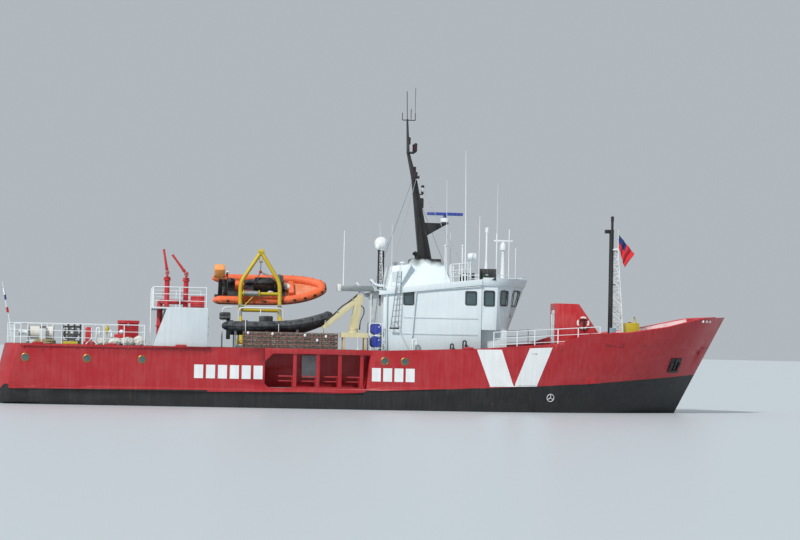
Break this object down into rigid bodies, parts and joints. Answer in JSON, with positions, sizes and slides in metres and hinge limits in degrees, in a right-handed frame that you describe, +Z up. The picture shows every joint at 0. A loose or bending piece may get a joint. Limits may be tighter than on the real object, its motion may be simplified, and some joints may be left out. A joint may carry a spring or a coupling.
{
  "type": "standby safety vessel",
  "caption": "Steel standby rescue ship: wheelhouse amidships, fire monitors, davit-hung rescue boat, workboat, deck crane, rescue zones in the sides, masts, radars, rudder and propeller.",
  "frame": {"origin": "on the centre line at the waterline amidships", "axes": "+X towards the bow, +Y to port, +Z up"},
  "size_m": [39.1693, 8.98, 20.7005],
  "materials": {
    "hull_paint": "satin",
    "antifouling": "matte",
    "white_paint": "satin",
    "grey_paint": "satin",
    "fire_paint": "gloss",
    "davit_paint": "satin",
    "crane_paint": "satin",
    "black_paint": "satin",
    "rack_paint": "matte",
    "galvanised_steel": "satin",
    "chrome_rod": "polished",
    "bronze": "satin",
    "orange_tube": "satin",
    "black_tube": "satin",
    "black_rubber": "matte",
    "orange_cowl": "gloss",
    "dark_plastic": "matte",
    "drum_plastic": "gloss",
    "radar_blue": "satin",
    "white_plastic": "gloss",
    "rope_fibre": "matte",
    "flag_cloth": "matte",
    "window_glass": "gloss"
  },
  "bodies": {
    "vessel": {"hull": "hull_paint", "bulwark": "hull_paint", "rescue_frame_starboard": "hull_paint", "rescue_frame_port": "hull_paint", "stern_rails": "white_paint", "ensign": "flag_cloth", "stern_winch": "white_paint", "deck_crate": "dark_plastic", "deck_locker": "fire_paint", "mooring_coil": "rope_fibre", "casing": "grey_paint", "platform_rails": "white_paint", "fire_main": "fire_paint", "davit_base": "davit_paint", "workboat": "black_tube", "workboat_motor": "dark_plastic", "workboat_cradle": "galvanised_steel", "boat_guard": "white_paint", "net_rack": "rack_paint", "crane_base": "crane_paint", "house": "white_paint", "wheelhouse": "white_paint", "bridge_roof": "white_paint", "bridge_console": "dark_plastic", "funnel": "white_paint", "mast": "black_paint", "satellite_dome": "white_plastic", "radar_pedestal": "white_paint", "bridge_rails": "white_paint", "gantry": "galvanised_steel", "drum_rack": "drum_plastic", "companion": "fire_paint", "foremast": "white_paint", "bow_flag": "flag_cloth", "windlass": "galvanised_steel", "foredeck_tank": "davit_paint", "fore_rails_starboard": "white_paint", "fore_rails_port": "white_paint"},
    "davit_arm": {"davit_frame": "davit_paint"},
    "rescue_craft": {"rescue_boat": "orange_tube", "rescue_boat_motor": "orange_cowl"},
    "davit_barrels": {"davit_ram_barrels": "davit_paint"},
    "davit_rods": {"davit_ram_rods": "chrome_rod"},
    "crane_turret": {"crane_column": "crane_paint"},
    "crane_arm": {"crane_boom": "crane_paint"},
    "crane_slide": {"crane_extension": "crane_paint"},
    "crane_barrel": {"crane_ram_barrel": "crane_paint"},
    "crane_rod": {"crane_ram_rod": "chrome_rod"},
    "scanner_main": {"radar_scanner_main": "radar_blue"},
    "scanner_forward": {"radar_scanner_forward": "white_plastic"},
    "monitor_a_turret": {"monitor_a_head": "fire_paint"},
    "monitor_a_nozzle": {"monitor_a_barrel": "fire_paint"},
    "monitor_b_turret": {"monitor_b_head": "fire_paint"},
    "monitor_b_nozzle": {"monitor_b_barrel": "fire_paint"},
    "door_house": {"house_door": "white_paint"},
    "door_companion": {"companion_door": "fire_paint"},
    "hatch_rescue": {"rescue_hatch": "galvanised_steel"},
    "rudder_blade": {"rudder": "antifouling"},
    "screw": {"propeller": "bronze"},
    "bow_thruster": {"thruster_fan": "bronze"}
  },
  "joints": [
    {"name": "davit_swing", "type": "hinge", "parent": "vessel", "child": "davit_arm", "pos_m": [-6.09, 1, 3.36], "axis": [-1, 0, 0], "range_deg": [0, 60]},
    {"name": "boat_hang", "type": "hinge", "parent": "davit_arm", "child": "rescue_craft", "pos_m": [-6.06, 1.6, 7.7], "axis": [-1, 0, 0], "range_deg": [-61, 0]},
    {"name": "davit_ram_tilt", "type": "hinge", "parent": "vessel", "child": "davit_barrels", "pos_m": [-6.09, -0.6, 3.33], "axis": [-1, 0, 0], "range_deg": [0, 35]},
    {"name": "davit_ram_stroke", "type": "slide", "parent": "davit_barrels", "child": "davit_rods", "axis": [0, 0.6335, 0.7738], "range_m": [0, 0.89]},
    {"name": "crane_slew", "type": "hinge", "parent": "vessel", "child": "crane_turret", "pos_m": [-1.55, -3.9, 4.06], "axis": [0, 0, 1], "range_deg": [0, 115]},
    {"name": "crane_luff", "type": "hinge", "parent": "crane_turret", "child": "crane_arm", "pos_m": [-1.3, -3.9, 5.75], "axis": [0, 1, 0], "range_deg": [0, 110]},
    {"name": "crane_extend", "type": "slide", "parent": "crane_arm", "child": "crane_slide", "axis": [-0.7547, 0, -0.6561], "range_m": [0, 1]},
    {"name": "crane_ram_tilt", "type": "hinge", "parent": "crane_turret", "child": "crane_barrel", "pos_m": [-1.66, -3.9, 4.29], "axis": [0, 1, 0], "range_deg": [-16, 0]},
    {"name": "crane_ram_stroke", "type": "slide", "parent": "crane_barrel", "child": "crane_rod", "axis": [0.2634, 0, 0.9647], "range_m": [0, 0.37]},
    {"name": "radar_main_turn", "type": "hinge", "parent": "vessel", "child": "scanner_main", "pos_m": [3.67, 0, 10.35], "axis": [0, 0, 1], "continuous": true},
    {"name": "radar_forward_turn", "type": "hinge", "parent": "vessel", "child": "scanner_forward", "pos_m": [6.88, 0, 9], "axis": [0, 0, 1], "continuous": true},
    {"name": "monitor_a_pan", "type": "hinge", "parent": "vessel", "child": "monitor_a_turret", "pos_m": [-11.15, -3, 6.5], "axis": [0, 0, 1], "range_deg": [-100, 100]},
    {"name": "monitor_a_tilt", "type": "hinge", "parent": "monitor_a_turret", "child": "monitor_a_nozzle", "pos_m": [-11.15, -3, 6.83], "axis": [0, -1, 0], "range_deg": [0, 75]},
    {"name": "monitor_b_pan", "type": "hinge", "parent": "vessel", "child": "monitor_b_turret", "pos_m": [-10.15, -1.9, 6.5], "axis": [0, 0, 1], "range_deg": [-100, 100]},
    {"name": "monitor_b_tilt", "type": "hinge", "parent": "monitor_b_turret", "child": "monitor_b_nozzle", "pos_m": [-10.15, -1.9, 6.83], "axis": [0, -1, 0], "range_deg": [-25, 50]},
    {"name": "house_door_hinge", "type": "hinge", "parent": "vessel", "child": "door_house", "pos_m": [0.015, 2.04, 4.1], "axis": [0, 0, -1], "range_deg": [0, 110]},
    {"name": "companion_door_hinge", "type": "hinge", "parent": "vessel", "child": "door_companion", "pos_m": [9.655, 0.37, 4.55], "axis": [0, 0, -1], "range_deg": [0, 110]},
    {"name": "rescue_hatch_hinge", "type": "hinge", "parent": "vessel", "child": "hatch_rescue", "pos_m": [-4.08, -2.94, 2.145], "axis": [0, 0, -1], "range_deg": [0, 100]},
    {"name": "rudder_turn", "type": "hinge", "parent": "vessel", "child": "rudder_blade", "pos_m": [-17.35, 0, -2.4], "axis": [0, 0, 1], "range_deg": [-35, 35]},
    {"name": "propeller_turn", "type": "hinge", "parent": "vessel", "child": "screw", "pos_m": [-16.08, 0, -2.46], "axis": [1, 0, 0], "continuous": true},
    {"name": "thruster_turn", "type": "hinge", "parent": "vessel", "child": "bow_thruster", "pos_m": [9.3, 0.2, -2.35], "axis": [0, 1, 0], "continuous": true}
  ],
  "couplings": [
    {"joint": "boat_hang", "follows": "davit_swing", "ratio": -1},
    {"joint": "davit_ram_tilt", "follows": "davit_swing", "ratio": 0.5727},
    {"joint": "davit_ram_stroke", "follows": "davit_swing", "m_per_rad": 0.8407},
    {"joint": "crane_ram_tilt", "follows": "crane_luff", "ratio": -0.14},
    {"joint": "crane_ram_stroke", "follows": "crane_luff", "m_per_rad": 0.185}
  ]
}
